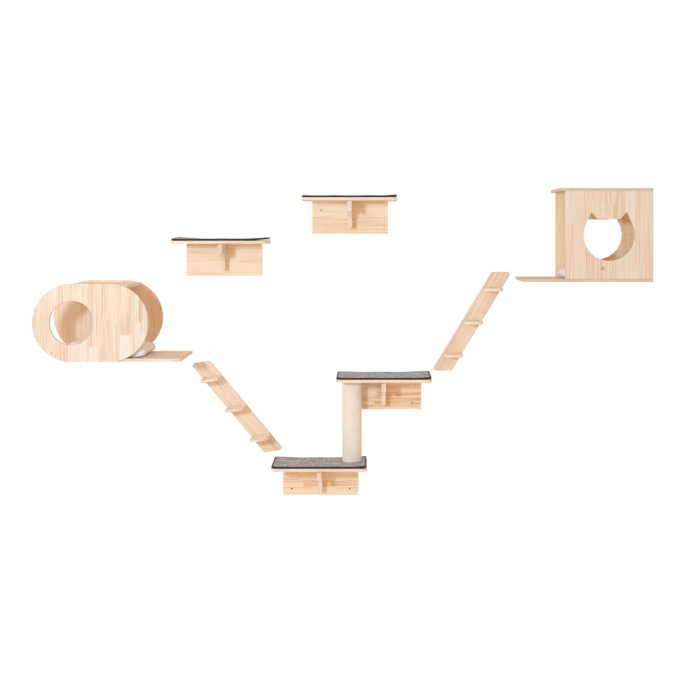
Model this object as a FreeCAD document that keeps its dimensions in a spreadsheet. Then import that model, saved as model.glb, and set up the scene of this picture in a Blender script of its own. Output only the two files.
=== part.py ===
import FreeCAD, Part
import math
import os
import Sketcher

# A wall mounted cat climbing set in edge-glued pine: a stadium-shaped house, a square house with
# a cat-face doorway, four carpeted shelves, a sisal post between two of them and two ladders.
# The wall is the plane y = 0 and the set stands out of it towards -y, with +z up. The origin is
# the centre of the lower shelf's four wall holes, on the wall plane. Lengths are millimetres.

SIZES = {
    # Board stock, screws and bolts
    "stock_thickness": 12,
    "fit_gap": 0.2,
    "edge_ease": 1.2,
    "screw_length": 34,
    "screw_shank": 4,
    "screw_head": 8,
    "screw_head_height": 2.2,
    "bolt_length": 38,
    "bolt_shank": 6,
    "bolt_head": 12,
    "bolt_head_height": 4,
    "wall_hole": 5,
    # Shelf board, its wall plate and the bracket under it
    "shelf_length": 400,
    "shelf_depth": 200,
    "shelf_corner": 20,
    "plate_length": 326,
    "plate_height": 140,
    "plate_hole_spread": 250,
    "plate_hole_rise": 75,
    "plate_hole_from_top": 38,
    "plate_screw_spread": 200,
    "bracket_thickness": 18,
    "bracket_reach": 148,
    "bracket_nose": 46,
    "bracket_leg_depth": 50,
    "bracket_leg_start": 76,
    "bracket_height": 114,
    "bracket_hollow": 80,
    # Carpet mat with its sewn binding
    "mat_margin": 2,
    "mat_thickness": 8,
    "mat_corner": 18,
    "binding_width": 6,
    "mat_post_gap": 5,
    # Places of the other three shelves: board middle across, board underside up
    "left_shelf_x": -416.5,
    "left_shelf_z": 1023,
    "top_shelf_x": 127,
    "top_shelf_z": 1204,
    "middle_shelf_x": 271,
    "middle_shelf_z": 445.5,
    # Scratching post
    "post_x": 136,
    "post_from_wall": 68,
    "post_diameter": 80,
    "rope_turn_gap": 0.5,
    "rope_end_gap": 0.3,
    "core_wall": 4,
    "plug_height": 36,
    # Stadium house
    "capsule_x": -918,
    "capsule_z": 704,
    "capsule_length": 470,
    "capsule_height": 316,
    "capsule_depth": 320,
    "door_diameter": 180,
    "capsule_boards_left": 115,
    "capsule_top_right": 144,
    "capsule_top_drop": 8,
    "capsule_landing_right": 364,
    "capsule_landing_corner": 25,
    "capsule_screw_spread": 90,
    "capsule_hole_spread": 240,
    "capsule_hole_rise": 144,
    "capsule_cushion_length": 340,
    "capsule_cushion_shift": 37,
    "capsule_cushion_thickness": 36,
    # Square house
    "cube_x": 1196,
    "cube_z": 866.5,
    "cube_width": 361,
    "cube_height": 386,
    "cube_depth": 250,
    "roof_overhang": 18.5,
    "landing_reach": 172,
    "cube_landing_corner": 30,
    "face_radius": 106,
    "face_crown": 66,
    "ear_tip_x": 73,
    "ear_tip_z": 96,
    "ear_base_x": 47,
    "ear_tip_round": 4,
    "cube_screw_inset": 78,
    "cube_board_screw_spread": 240,
    "cube_hole_spread": 290,
    "cube_hole_rise": 300,
    "cube_cushion_length": 324,
    "cube_cushion_shift": -27,
    "cube_cushion_thickness": 35,
    # Cushions
    "cushion_margin": 10,
    "cushion_corner": 34,
    "cushion_draw_in": 7,
    "cushion_rest_gap": 0.3,
    # Ladders
    "ladder_width": 85,
    "ladder_height": 426,
    "ladder_lean": 259,
    "ladder_corner": 10,
    "ladder_hole_from_end": 25,
    "step_width": 82,
    "step_depth": 100,
    "step_corner": 28,
    "step_pitch": 140,
    "step_screw_spread": 44,
    "right_ladder_x": 653,
    "right_ladder_z": 685.5,
    "left_ladder_x": -361.5,
    "left_ladder_z": 316.3,
    "left_ladder_turn": 8.5,
}

ROPE_LOOPS = 24
ROPE_SIDES = 4
ARCS_PER_LOOP = 2
PRISM_SIDES = 6
# A regular prism's flats stand nearer its middle than its corners by this share.
FLAT_SHARE = round(math.cos(math.pi / PRISM_SIDES), 4)
# Height up the cushion, and how far its outline stands in from the seam, as shares of thickness.
CUSHION_LEVELS = ((0, 0.45), (0.14, 0.16), (0.3, 0.04), (0.48, 0), (0.66, 0.08), (0.8, 0.3),
                  (0.91, 0.8), (1, 1.7))

DOWN = FreeCAD.Vector(0, 0, -1)
UP = FreeCAD.Vector(0, 0, 1)
TO_WALL = FreeCAD.Vector(0, 1, 0)
TO_ROOM = FreeCAD.Vector(0, -1, 0)
ROUND = 1e-6

document = FreeCAD.newDocument("wall_cat_tree")
sheet = document.addObject("Spreadsheet::Sheet", "sizes")
for row, (alias, size) in enumerate(SIZES.items(), 1):
    sheet.set(f"A{row}", alias)
    sheet.set(f"B{row}", str(size))
    sheet.setAlias(f"B{row}", alias)
document.recompute()

nodes = []
cuts = []

THICK = "sizes.stock_thickness"


def number(expression):
    """The value of an expression over the sheet."""
    return float(sheet.evalExpression(expression))


def vector(x, y, z):
    """A vector from three expressions."""
    return FreeCAD.Vector(number(x), number(y), number(z))


# ---------------------------------------------------------------- sketches and features


def new_body(label, unit):
    """An empty body placed at its unit's reference point, kept as a node of the set."""
    body = document.addObject("PartDesign::Body", label)
    body.Label = label
    body.Placement = placement(unit)
    for axis in "xyz":
        body.setExpression(f"Placement.Base.{axis}", unit[axis])
    if "turn" in unit:
        body.setExpression("Placement.Rotation.Angle", unit["turn"])
    nodes.append(body)
    return body


def placement(unit):
    """Where a unit's reference point is, and its turn in the plane of the wall."""
    turn = FreeCAD.Rotation(TO_ROOM, number(unit.get("turn", "0")))
    return FreeCAD.Placement(vector(unit["x"], unit["y"], unit["z"]), turn)


def new_sketch(body, plane, height="0"):
    """A sketch on one of the body's own planes, moved along that plane's normal."""
    sketch = body.newObject("Sketcher::SketchObject", f"{body.Label}_sketch")
    support = [item for item in body.Origin.OriginFeatures if item.Role == plane]
    sketch.AttachmentSupport = (support[0], [""])
    sketch.MapMode = "FlatFace"
    sketch.setExpression("AttachmentOffset.Base.z", height)
    return sketch


def hold(sketch, kind, *geometry, size):
    """A dimension of the sketch, bound to an expression over the sheet."""
    index = sketch.addConstraint(Sketcher.Constraint(kind, *geometry, number(size)))
    sketch.setExpression(f"Constraints[{index}]", size)


def hold_point(sketch, line, end, x, y):
    """Both coordinates of a line's end, held from the sketch's origin."""
    hold(sketch, "DistanceX", -1, 1, line, end, size=x)
    hold(sketch, "DistanceY", -1, 1, line, end, size=y)


def draw_polygon(sketch, corners):
    """Straight edges through the corners, each held from the sketch's origin."""
    points = [vector(x, y, "0") for x, y in corners]
    for index, point in enumerate(points):
        following = points[(index + 1) % len(points)]
        sketch.addGeometry(Part.LineSegment(point, following))
    for index, (x, y) in enumerate(corners):
        before = (index - 1) % len(corners)
        sketch.addConstraint(Sketcher.Constraint("Coincident", before, 2, index, 1))
        hold_point(sketch, index, 1, x, y)


def draw_rectangle(sketch, left, right, low, high):
    """A rectangle between four expressions."""
    draw_polygon(sketch, [(left, low), (right, low), (right, high), (left, high)])


def draw_circles(sketch, spots, diameter):
    """Circles of one diameter at the spots."""
    for x, y in spots:
        middle = vector(x, y, "0")
        circle = sketch.addGeometry(Part.Circle(middle, UP, number(diameter) / 2))
        hold(sketch, "Diameter", circle, size=diameter)
        hold(sketch, "DistanceX", -1, 1, circle, 3, size=x)
        hold(sketch, "DistanceY", -1, 1, circle, 3, size=y)


def draw_rounded_rectangle(sketch, left, right, low, high, radius):
    """A rectangle between four expressions, its corners tangent arcs of one radius."""
    first = sketch.GeometryCount
    a, b, c, d = (number(side) for side in (left, right, low, high))
    bend = number(radius)
    ends = [((a + bend, c), (b - bend, c)), ((b, c + bend), (b, d - bend)),
            ((b - bend, d), (a + bend, d)), ((a, d - bend), (a, c + bend))]
    middles = [(b - bend, c + bend), (b - bend, d - bend), (a + bend, d - bend),
               (a + bend, c + bend)]
    for start, end in ends:
        sketch.addGeometry(Part.LineSegment(FreeCAD.Vector(*start, 0), FreeCAD.Vector(*end, 0)))
    for count, middle in enumerate(middles):
        circle = Part.Circle(FreeCAD.Vector(*middle, 0), UP, bend)
        start = (count - 1) * math.pi / 2
        sketch.addGeometry(Part.ArcOfCircle(circle, start, start + math.pi / 2))
    for count in range(4):
        line = first + count
        arc = first + 4 + count
        following = first + (count + 1) % 4
        sketch.addConstraint(Sketcher.Constraint("Tangent", line, 2, arc, 1))
        sketch.addConstraint(Sketcher.Constraint("Tangent", arc, 2, following, 1))
    for count, kind, size in ((0, "DistanceY", low), (1, "DistanceX", right),
                              (2, "DistanceY", high), (3, "DistanceX", left)):
        hold(sketch, kind, -1, 1, first + count, 1, size=size)
        if count:
            sketch.addConstraint(Sketcher.Constraint("Equal", first + 4, first + 4 + count))
    hold(sketch, "Radius", first + 4, size=radius)


def draw_stadium(sketch, length, height):
    """Two straight edges joined by half circles, centred on the sketch's origin."""
    radius = number(height) / 2
    half = number(length) / 2 - radius
    quarter = math.pi / 2
    right = Part.Circle(FreeCAD.Vector(half, 0, 0), UP, radius)
    left = Part.Circle(FreeCAD.Vector(-half, 0, 0), UP, radius)
    sketch.addGeometry(Part.ArcOfCircle(right, -quarter, quarter))
    sketch.addGeometry(Part.ArcOfCircle(left, quarter, 3 * quarter))
    top = (FreeCAD.Vector(half, radius, 0), FreeCAD.Vector(-half, radius, 0))
    low = (FreeCAD.Vector(-half, -radius, 0), FreeCAD.Vector(half, -radius, 0))
    sketch.addGeometry(Part.LineSegment(*top))
    sketch.addGeometry(Part.LineSegment(*low))
    for before, after in ((0, 2), (2, 1), (1, 3), (3, 0)):
        sketch.addConstraint(Sketcher.Constraint("Tangent", before, 2, after, 1))
    hold(sketch, "Radius", 0, size=f"{height} / 2")
    for arc, side in ((0, ""), (1, "-")):
        hold(sketch, "DistanceX", -1, 1, arc, 3, size=f"{side}({length} - {height}) / 2")
        hold(sketch, "DistanceY", -1, 1, arc, 3, size="0")


def add_pad(body, sketch, length, both_ways=False):
    """Thicken the sketch along its plane's normal, or equally both ways."""
    pad = body.newObject("PartDesign::Pad", f"{body.Label}_pad")
    pad.Profile = sketch
    pad.SideType = "Symmetric" if both_ways else "One side"
    pad.setExpression("Length", length)
    document.recompute()
    return pad


def cut_through(body, sketch):
    """Cut the sketch right through the body, both ways from its plane."""
    base = body.Tip
    pocket = body.newObject("PartDesign::Pocket", f"{body.Label}_cut")
    pocket.Profile = sketch
    pocket.SideType = "Symmetric"
    pocket.Type = "ThroughAll"
    document.recompute()
    cuts.append((base, pocket))
    return pocket


def bore_walls(body, spots):
    """Round holes through a board for the wall's own screws."""
    sketch = new_sketch(body, "XZ_Plane")
    draw_circles(sketch, spots, "sizes.wall_hole")
    cut_through(body, sketch)


def add_prism(body, sense, spot, radius, height):
    """A six-sided prism added to or taken from the body: x, y, z of its foot, direction."""
    x, y, z, direction = spot
    prism = body.newObject(f"PartDesign::{sense}Prism", f"{body.Label}_prism")
    prism.Polygon = PRISM_SIDES
    prism.Placement = FreeCAD.Placement(vector(x, y, z), FreeCAD.Rotation(UP, direction))
    for axis, size in zip("xyz", (x, y, z)):
        prism.setExpression(f"Placement.Base.{axis}", size)
    prism.setExpression("Circumradius", radius)
    prism.setExpression("Height", height)
    return prism


def drill(body, spots, kind="screw", sunk=False):
    """Clearance for fasteners driven from the spots, and a recess for each head if sunk."""
    for spot in spots:
        shank = f"(sizes.{kind}_shank / 2 + sizes.fit_gap) / {FLAT_SHARE}"
        base = body.Tip
        length = f"sizes.{kind}_length + sizes.fit_gap"
        cuts.append((base, add_prism(body, "Subtractive", spot, shank, length)))
        if sunk:
            head = f"(sizes.{kind}_head / 2 + sizes.fit_gap) / {FLAT_SHARE}"
            height = f"sizes.{kind}_head_height + sizes.fit_gap"
            base = body.Tip
            cuts.append((base, add_prism(body, "Subtractive", spot, head, height)))
    document.recompute()


def upright_edges(feature, direction, wanted):
    """Names of the straight edges along a direction whose middle passes the test."""
    names = []
    for index, edge in enumerate(feature.Shape.Edges, 1):
        straight = isinstance(edge.Curve, Part.Line)
        if straight and abs(abs(edge.tangentAt(edge.FirstParameter).dot(direction)) - 1) < ROUND:
            if wanted(edge.CenterOfMass):
                names.append(f"Edge{index}")
    return names


def round_corners(body, direction, radius, wanted):
    """Round the body's upright corners that pass the test."""
    base = body.Tip
    fillet = body.newObject("PartDesign::Fillet", f"{body.Label}_corners")
    fillet.Base = (base, upright_edges(base, direction, wanted))
    fillet.setExpression("Radius", radius)
    document.recompute()


def ease_edges(body, direction):
    """A small chamfer round both faces that look along a direction."""
    base = body.Tip
    names = []
    for index, face in enumerate(base.Shape.Faces, 1):
        flat = isinstance(face.Surface, Part.Plane)
        if flat and abs(abs(face.normalAt(0, 0).dot(direction)) - 1) < ROUND:
            names.append(f"Face{index}")
    chamfer = body.newObject("PartDesign::Chamfer", f"{body.Label}_ease")
    chamfer.Base = (base, names)
    chamfer.setExpression("Size", "sizes.edge_ease")
    document.recompute()


def add_solid(label, unit, shape):
    """A node whose shape is worked out here, placed at its unit's reference point."""
    feature = document.addObject("Part::Feature", label)
    feature.Label = label
    feature.Shape = shape
    feature.Placement = placement(unit)
    nodes.append(feature)


# ---------------------------------------------------------------- screws and bolts


def make_fastener(kind):
    """One fastener: a flat head whose face is at the origin, and a shank upwards."""
    body = document.addObject("PartDesign::Body", kind)
    foot = ("0", "0", "0", UP)
    add_prism(body, "Additive", foot, f"sizes.{kind}_head / 2", f"sizes.{kind}_head_height")
    add_prism(body, "Additive", foot, f"sizes.{kind}_shank / 2", f"sizes.{kind}_length")
    document.recompute()
    return body


fastener_shapes = {kind: make_fastener(kind).Shape for kind in ("screw", "bolt")}


def add_fasteners(label, unit, spots, kind="screw"):
    """A group of fasteners, each a solid: x, y, z of its head's face and its direction."""
    group = []
    for x, y, z, direction in spots:
        fastener = fastener_shapes[kind].copy()
        turn = FreeCAD.Rotation(UP, direction)
        fastener.Placement = FreeCAD.Placement(vector(x, y, z), turn)
        group.append(fastener)
    add_solid(label, unit, Part.makeCompound(group))


# ---------------------------------------------------------------- shelves

LOWER_SHELF = {"x": "0", "y": "0", "z": "sizes.plate_hole_from_top + sizes.plate_hole_rise / 2"}
LEFT_SHELF = {"x": "sizes.left_shelf_x", "y": "0", "z": "sizes.left_shelf_z"}
TOP_SHELF = {"x": "sizes.top_shelf_x", "y": "0", "z": "sizes.top_shelf_z"}
MIDDLE_SHELF = {"x": "sizes.middle_shelf_x", "y": "0", "z": "sizes.middle_shelf_z"}

CARPET_EDGE = ("(sizes.mat_margin + sizes.binding_width)",
               "sizes.mat_corner - sizes.binding_width")
PLATE_SCREWS = [(f"{side}sizes.plate_screw_spread / 2", f"-{THICK} / 2", THICK, DOWN)
                for side in ("-", "")]
ARM_SCREW = ("0", f"-({THICK} + sizes.bracket_reach) / 2", THICK, DOWN)
LEG_SCREW = ("0", "0", "-(sizes.bracket_leg_start + sizes.bracket_height) / 2", TO_ROOM)


def in_front(point):
    """Whether a point is nearer the room than the middle of a shelf."""
    return point.y < -number("sizes.shelf_depth") / 2


def make_board(name, unit, bolts):
    """The shelf board, its two front corners rounded, screwed down from above."""
    body = new_body(f"{name}_board", unit)
    sketch = new_sketch(body, "XY_Plane")
    half = "sizes.shelf_length / 2"
    draw_rectangle(sketch, f"-{half}", half, "-sizes.shelf_depth", "0")
    add_pad(body, sketch, THICK)
    round_corners(body, UP, "sizes.shelf_corner", in_front)
    ease_edges(body, UP)
    drill(body, [*PLATE_SCREWS, ARM_SCREW], sunk=True)
    drill(body, bolts, "bolt", sunk=True)


def make_backplate(name, unit):
    """The plate that is screwed to the wall under the board."""
    body = new_body(f"{name}_backplate", unit)
    sketch = new_sketch(body, "XZ_Plane")
    half = "sizes.plate_length / 2"
    draw_rectangle(sketch, f"-{half}", half, "-sizes.plate_height", "0")
    add_pad(body, sketch, THICK)
    across = "sizes.plate_hole_spread / 2"
    high = "-sizes.plate_hole_from_top"
    low = f"{high} - sizes.plate_hole_rise"
    bore_walls(body, [(f"{side}{across}", z) for side in ("-", "") for z in (high, low)])
    drill(body, PLATE_SCREWS)
    drill(body, [LEG_SCREW], sunk=True)


def make_bracket(name, unit):
    """The bracket: an arm under the board, hollowed in a curve to a leg on the plate."""
    body = new_body(f"{name}_bracket", unit)
    sketch = new_sketch(body, "YZ_Plane")
    root = f"-{THICK}"
    nose = f"-({THICK} + sizes.bracket_reach)"
    leg = f"-({THICK} + sizes.bracket_leg_depth)"
    corners = [(root, "0"), (root, "-sizes.bracket_height"), (leg, "-sizes.bracket_height")]
    corners += [(leg, "-sizes.bracket_leg_start"), (nose, "-sizes.bracket_nose"), (nose, "0")]
    points = [vector(y, z, "0") for y, z in corners]
    for index in (0, 1, 2, 4, 5):
        sketch.addGeometry(Part.LineSegment(points[index], points[(index + 1) % 6]))
    chord = points[4] - points[3]
    radius = number("sizes.bracket_hollow")
    bow = radius - math.sqrt(radius ** 2 - chord.Length ** 2 / 4)
    deepest = points[3] + chord * 0.5 + chord.cross(UP).normalize() * bow
    hollow = Part.ArcOfCircle(points[3], deepest, points[4])
    arc = sketch.addGeometry(hollow)
    low_end = 1 if hollow.StartPoint.distanceToPoint(points[3]) < ROUND else 2
    for before, after in ((0, 1), (1, 2), (3, 4), (4, 0)):
        sketch.addConstraint(Sketcher.Constraint("Coincident", before, 2, after, 1))
    sketch.addConstraint(Sketcher.Constraint("Coincident", 2, 2, arc, low_end))
    sketch.addConstraint(Sketcher.Constraint("Coincident", 3, 1, arc, 3 - low_end))
    for line, corner in ((0, 0), (1, 1), (2, 2), (3, 4), (4, 5)):
        hold_point(sketch, line, 1, *corners[corner])
    hold_point(sketch, 2, 2, *corners[3])
    hold(sketch, "Radius", arc, size="sizes.bracket_hollow")
    add_pad(body, sketch, "sizes.bracket_thickness", both_ways=True)
    drill(body, [ARM_SCREW, LEG_SCREW])


def draw_mat_outline(sketch, inset, radius):
    """An outline that stands in from the shelf board's edges."""
    half = f"(sizes.shelf_length / 2 - {inset})"
    draw_rounded_rectangle(sketch, f"-{half}", half, f"-sizes.shelf_depth + {inset}",
                           f"-{inset}", radius)


def make_mat(name, unit, post_spots):
    """The carpet pad, cut out round the post where the shelf carries its foot."""
    body = new_body(f"{name}_mat", unit)
    sketch = new_sketch(body, "XY_Plane", THICK)
    draw_mat_outline(sketch, *CARPET_EDGE)
    add_pad(body, sketch, "sizes.mat_thickness")
    if post_spots:
        opening = new_sketch(body, "XY_Plane", THICK)
        draw_circles(opening, post_spots, "sizes.post_diameter + 2 * sizes.mat_post_gap")
        cut_through(body, opening)


def make_binding(name, unit):
    """The dark band sewn round the carpet's edge, as thick as the carpet."""
    body = new_body(f"{name}_mat_binding", unit)
    sketch = new_sketch(body, "XY_Plane", THICK)
    draw_mat_outline(sketch, "sizes.mat_margin", "sizes.mat_corner")
    draw_mat_outline(sketch, *CARPET_EDGE)
    add_pad(body, sketch, "sizes.mat_thickness")


def make_shelf(name, unit, bolts=(), post_spots=()):
    """One shelf: board, wall plate, bracket, mat with binding, and the screws."""
    make_board(name, unit, bolts)
    make_backplate(name, unit)
    make_bracket(name, unit)
    make_mat(name, unit, post_spots)
    make_binding(name, unit)
    add_fasteners(f"{name}_screws", unit, [*PLATE_SCREWS, ARM_SCREW, LEG_SCREW])


# ---------------------------------------------------------------- scratching post

POST_FOOT_Z = f"{LOWER_SHELF['z']} + {THICK}"
POST_LENGTH = f"(sizes.middle_shelf_z - ({POST_FOOT_Z}))"
POST = {"x": "sizes.post_x", "y": "-sizes.post_from_wall", "z": POST_FOOT_Z}
# One rope diameter at each end and a gap between turns share the post's length.
ROPE = f"(({POST_LENGTH} - 2 * sizes.rope_end_gap - {ROPE_LOOPS} * sizes.rope_turn_gap)"
ROPE += f" / ({ROPE_LOOPS} + 1))"
CORE = f"(sizes.post_diameter - 2 * {ROPE} - 2 * sizes.fit_gap)"
BORE = f"({CORE} - 2 * sizes.core_wall)"


def make_core():
    """The cardboard tube that carries the rope."""
    body = new_body("post_core_tube", POST)
    sketch = new_sketch(body, "XY_Plane")
    draw_circles(sketch, [("0", "0")], CORE)
    add_pad(body, sketch, POST_LENGTH)
    bore = new_sketch(body, "XY_Plane")
    draw_circles(bore, [("0", "0")], BORE)
    cut_through(body, bore)


def make_plug(label, foot, bolt):
    """A turned wooden plug inside the tube's end, drilled for the bolt."""
    body = new_body(label, POST)
    sketch = new_sketch(body, "XY_Plane", foot)
    draw_circles(sketch, [("0", "0")], f"{BORE} - 2 * sizes.fit_gap")
    add_pad(body, sketch, "sizes.plug_height")
    drill(body, [bolt], "bolt")


def helix_point(radius, pitch, turns, foot):
    """A point of the rope's middle line after some turns, and its direction there."""
    angle = 2 * math.pi * turns
    point = FreeCAD.Vector(radius * math.cos(angle), radius * math.sin(angle),
                           foot + pitch * turns)
    along = FreeCAD.Vector(-radius * math.sin(angle), radius * math.cos(angle),
                           pitch / (2 * math.pi))
    return point, along.normalize()


def arc_from_tangents(start, corner, end):
    """The circular arc that leaves start towards the corner and reaches end."""
    chord_middle = (start + end) * 0.5
    cosine = start.distanceToPoint(chord_middle) / start.distanceToPoint(corner)
    middle = chord_middle + (corner - chord_middle) * (cosine / (1 + cosine))
    return Part.Arc(start, middle, end).toShape()


def biarc(start, leaving, end, arriving):
    """Two tangent arcs between two points with given directions there."""
    across = end - start
    total = leaving + arriving
    lever = 2 * (1 - leaving.dot(arriving))
    along = across.dot(total)
    reach = (math.sqrt(along * along + lever * across.dot(across)) - along) / lever
    first = start + leaving * reach
    second = end - arriving * reach
    joint = (first + second) * 0.5
    return [arc_from_tangents(start, first, joint), arc_from_tangents(joint, second, end)]


def make_rope():
    """Sisal rope wound up the core as one unbroken tube, its ends run straight.

    The turns are drawn coarser and fewer than the real six millimetre rope's.
    """
    rope = number(ROPE)
    radius = number("sizes.post_diameter") / 2 - rope / 2
    pitch = rope + number("sizes.rope_turn_gap")
    foot = number("sizes.rope_end_gap") + rope / 2
    stops = [index / ARCS_PER_LOOP for index in range(ARCS_PER_LOOP * ROPE_LOOPS + 1)]
    points = [helix_point(radius, pitch, turns, foot) for turns in stops]
    first, leaving = points[0]
    last, arriving = points[-1]
    into = FreeCAD.Vector(leaving.x, leaving.y, 0).normalize()
    away = FreeCAD.Vector(arriving.x, arriving.y, 0).normalize()
    tail = first - into * rope
    edges = [Part.LineSegment(tail, first).toShape()]
    for before, after in zip(points, points[1:]):
        edges += biarc(*before, *after)
    edges.append(Part.LineSegment(last, last + away * rope).toShape())
    corners = []
    side = into.cross(UP)
    for index in range(ROPE_SIDES + 1):
        angle = 2 * math.pi * (index + 0.5) / ROPE_SIDES
        spread = side * math.cos(angle) + UP * math.sin(angle)
        corners.append(tail + spread * (rope / 2))
    shell = Part.BRepOffsetAPI.MakePipeShell(Part.Wire(edges))
    shell.add(Part.makePolygon(corners))
    shell.build()
    shell.makeSolid()
    measure_rope(edges, rope)
    return shell.shape()


def measure_rope(edges, rope):
    """Print the rope's length and the least gap between its turns, measured on points."""
    loops = [edge.discretize(5)[:-1] for edge in edges[1:-1]]
    points = [point for stretch in loops for point in stretch]
    per_loop = len(points) // ROPE_LOOPS
    least = min(points[index].distanceToPoint(points[index + per_loop + step])
                for index in range(len(points) - per_loop - 1) for step in (-1, 0, 1))
    length = sum(edge.Length for edge in edges)
    print(f"rope: {length:.0f} mm long, least gap to itself {least - rope:.2f} mm")


def make_post():
    """The post between the lower and middle shelves, bolted through both boards."""
    make_core()
    foot_bolt = ("0", "0", f"-{THICK}", UP)
    head_bolt = ("0", "0", f"{POST_LENGTH} + {THICK}", DOWN)
    make_plug("post_bottom_plug", "0", foot_bolt)
    make_plug("post_top_plug", f"{POST_LENGTH} - sizes.plug_height", head_bolt)
    add_solid("post_sisal_rope", POST, make_rope())
    add_fasteners("post_bolts", POST, [foot_bolt, head_bolt], "bolt")


# ---------------------------------------------------------------- cushions


def cushion_outline(length, depth, corner, draw_in, height):
    """A closed outline at one height: sides drawn in between four rounded corners."""
    half_x = length / 2
    half_y = depth / 2
    quarter = corner * (1 - math.sqrt(0.5))
    edges = []
    for side_x, side_y in ((1, 1), (-1, 1), (-1, -1), (1, -1)):
        along_x = FreeCAD.Vector(side_x * (half_x - corner), side_y * half_y, height)
        along_y = FreeCAD.Vector(side_x * half_x, side_y * (half_y - corner), height)
        bend = FreeCAD.Vector(side_x * (half_x - quarter), side_y * (half_y - quarter), height)
        if side_x * side_y > 0:
            start, end = along_y, along_x
            waist = FreeCAD.Vector(0, side_y * (half_y - draw_in), height)
            following = FreeCAD.Vector(-end.x, end.y, height)
        else:
            start, end = along_x, along_y
            waist = FreeCAD.Vector(side_x * (half_x - draw_in), 0, height)
            following = FreeCAD.Vector(end.x, -end.y, height)
        edges.append(Part.Arc(start, bend, end).toShape())
        edges.append(Part.Arc(end, waist, following).toShape())
    return Part.Wire(edges)


def make_cushion(label, unit, length, depth, thickness):
    """A plush pad lofted from a small base through its widest seam to a crowned top."""
    outlines = []
    for level, stand_in in CUSHION_LEVELS:
        inset = 2 * stand_in * number(thickness)
        outlines.append(cushion_outline(number(length) - inset, number(depth) - inset,
                                        number("sizes.cushion_corner"),
                                        number("sizes.cushion_draw_in"),
                                        level * number(thickness)))
    add_solid(label, unit, Part.makeLoft(outlines, True, True))


# ---------------------------------------------------------------- stadium house

CAPSULE = {"x": "sizes.capsule_x", "y": "0", "z": "sizes.capsule_z"}
CAPSULE_INNER = f"(sizes.capsule_depth - 2 * {THICK})"
CAPSULE_FLOOR_Z = "-sizes.capsule_height / 2"
CAPSULE_TOP_Z = f"(sizes.capsule_height / 2 - sizes.capsule_top_drop - {THICK})"
CAPSULE_SCREWS = [(f"{side}sizes.capsule_screw_spread / 2", y, f"{foot} + {THICK} / 2", way)
                  for y, way in (("0", TO_ROOM), ("-sizes.capsule_depth", TO_WALL))
                  for foot in (CAPSULE_FLOOR_Z, CAPSULE_TOP_Z) for side in ("-", "")]


def make_capsule_panel(label, foot):
    """A stadium-shaped panel, its round ends left and right."""
    body = new_body(label, CAPSULE)
    sketch = new_sketch(body, "XZ_Plane", foot)
    draw_stadium(sketch, "sizes.capsule_length", "sizes.capsule_height")
    add_pad(body, sketch, THICK)
    return body


def make_capsule_board(label, height, right_end, corner=None):
    """A board between the panels, drilled at both ends for the panels' screws."""
    body = new_body(label, CAPSULE)
    sketch = new_sketch(body, "XY_Plane", height)
    front = f"-sizes.capsule_depth + {THICK}"
    draw_rectangle(sketch, "-sizes.capsule_boards_left", right_end, front, f"-{THICK}")
    add_pad(body, sketch, THICK)
    if corner:
        limit = number(right_end) - ROUND
        middle = -number("sizes.capsule_depth") / 2
        round_corners(body, UP, corner, lambda point: point.x > limit and point.y < middle)
    ease_edges(body, UP)
    drill(body, [spot for spot in CAPSULE_SCREWS if spot[2].startswith(height)])


def make_capsule():
    """The house with round ends: two panels, a top board, a floor with a landing, a pad."""
    back = make_capsule_panel("capsule_back_panel", "0")
    drill(back, [spot for spot in CAPSULE_SCREWS if spot[3] is TO_ROOM], sunk=True)
    across = "sizes.capsule_hole_spread / 2"
    rise = "sizes.capsule_hole_rise / 2"
    bore_walls(back, [(f"{a}{across}", f"{b}{rise}") for a in ("-", "") for b in ("-", "")])
    front = make_capsule_panel("capsule_front_panel", f"sizes.capsule_depth - {THICK}")
    door = new_sketch(front, "XZ_Plane")
    middle = "-(sizes.capsule_length - sizes.capsule_height) / 2"
    draw_circles(door, [(middle, "0")], "sizes.door_diameter")
    cut_through(front, door)
    drill(front, [spot for spot in CAPSULE_SCREWS if spot[3] is TO_WALL], sunk=True)
    make_capsule_board("capsule_top_board", CAPSULE_TOP_Z, "sizes.capsule_top_right")
    make_capsule_board("capsule_floor_board", CAPSULE_FLOOR_Z, "sizes.capsule_landing_right",
                       "sizes.capsule_landing_corner")
    resting = {"x": f"{CAPSULE['x']} + sizes.capsule_cushion_shift",
               "y": "-sizes.capsule_depth / 2",
               "z": f"{CAPSULE['z']} + {CAPSULE_FLOOR_Z} + {THICK} + sizes.cushion_rest_gap"}
    make_cushion("capsule_cushion", resting, "sizes.capsule_cushion_length",
                 f"({CAPSULE_INNER} - 2 * sizes.cushion_margin)",
                 "sizes.capsule_cushion_thickness")
    add_fasteners("capsule_screws", CAPSULE, CAPSULE_SCREWS)


# ---------------------------------------------------------------- square house

CUBE = {"x": "sizes.cube_x", "y": "0", "z": "sizes.cube_z"}
CUBE_HALF = "sizes.cube_width / 2"
CUBE_ROOF_Z = f"(sizes.cube_height - {THICK})"
CUBE_FRONT_Y = f"(-sizes.cube_depth + {THICK} / 2)"
SIDE_X = f"({CUBE_HALF} - {THICK} / 2)"
BACK_SCREWS = [(SIDE_X, "0", f"{THICK} + sizes.cube_screw_inset", TO_ROOM),
               (SIDE_X, "0", f"{CUBE_ROOF_Z} - sizes.cube_screw_inset", TO_ROOM)]
FRONT_SCREWS = [(x, "-sizes.cube_depth", z, TO_WALL) for x, y, z, way in BACK_SCREWS]
FLOOR_SCREWS = [(f"{side}sizes.cube_board_screw_spread / 2", y, "0", UP)
                for y in (f"-{THICK} / 2", CUBE_FRONT_Y) for side in ("-", "")]
ROOF_SCREWS = [(x, y, "sizes.cube_height", DOWN) for x, y, z, way in FLOOR_SCREWS]


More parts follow.
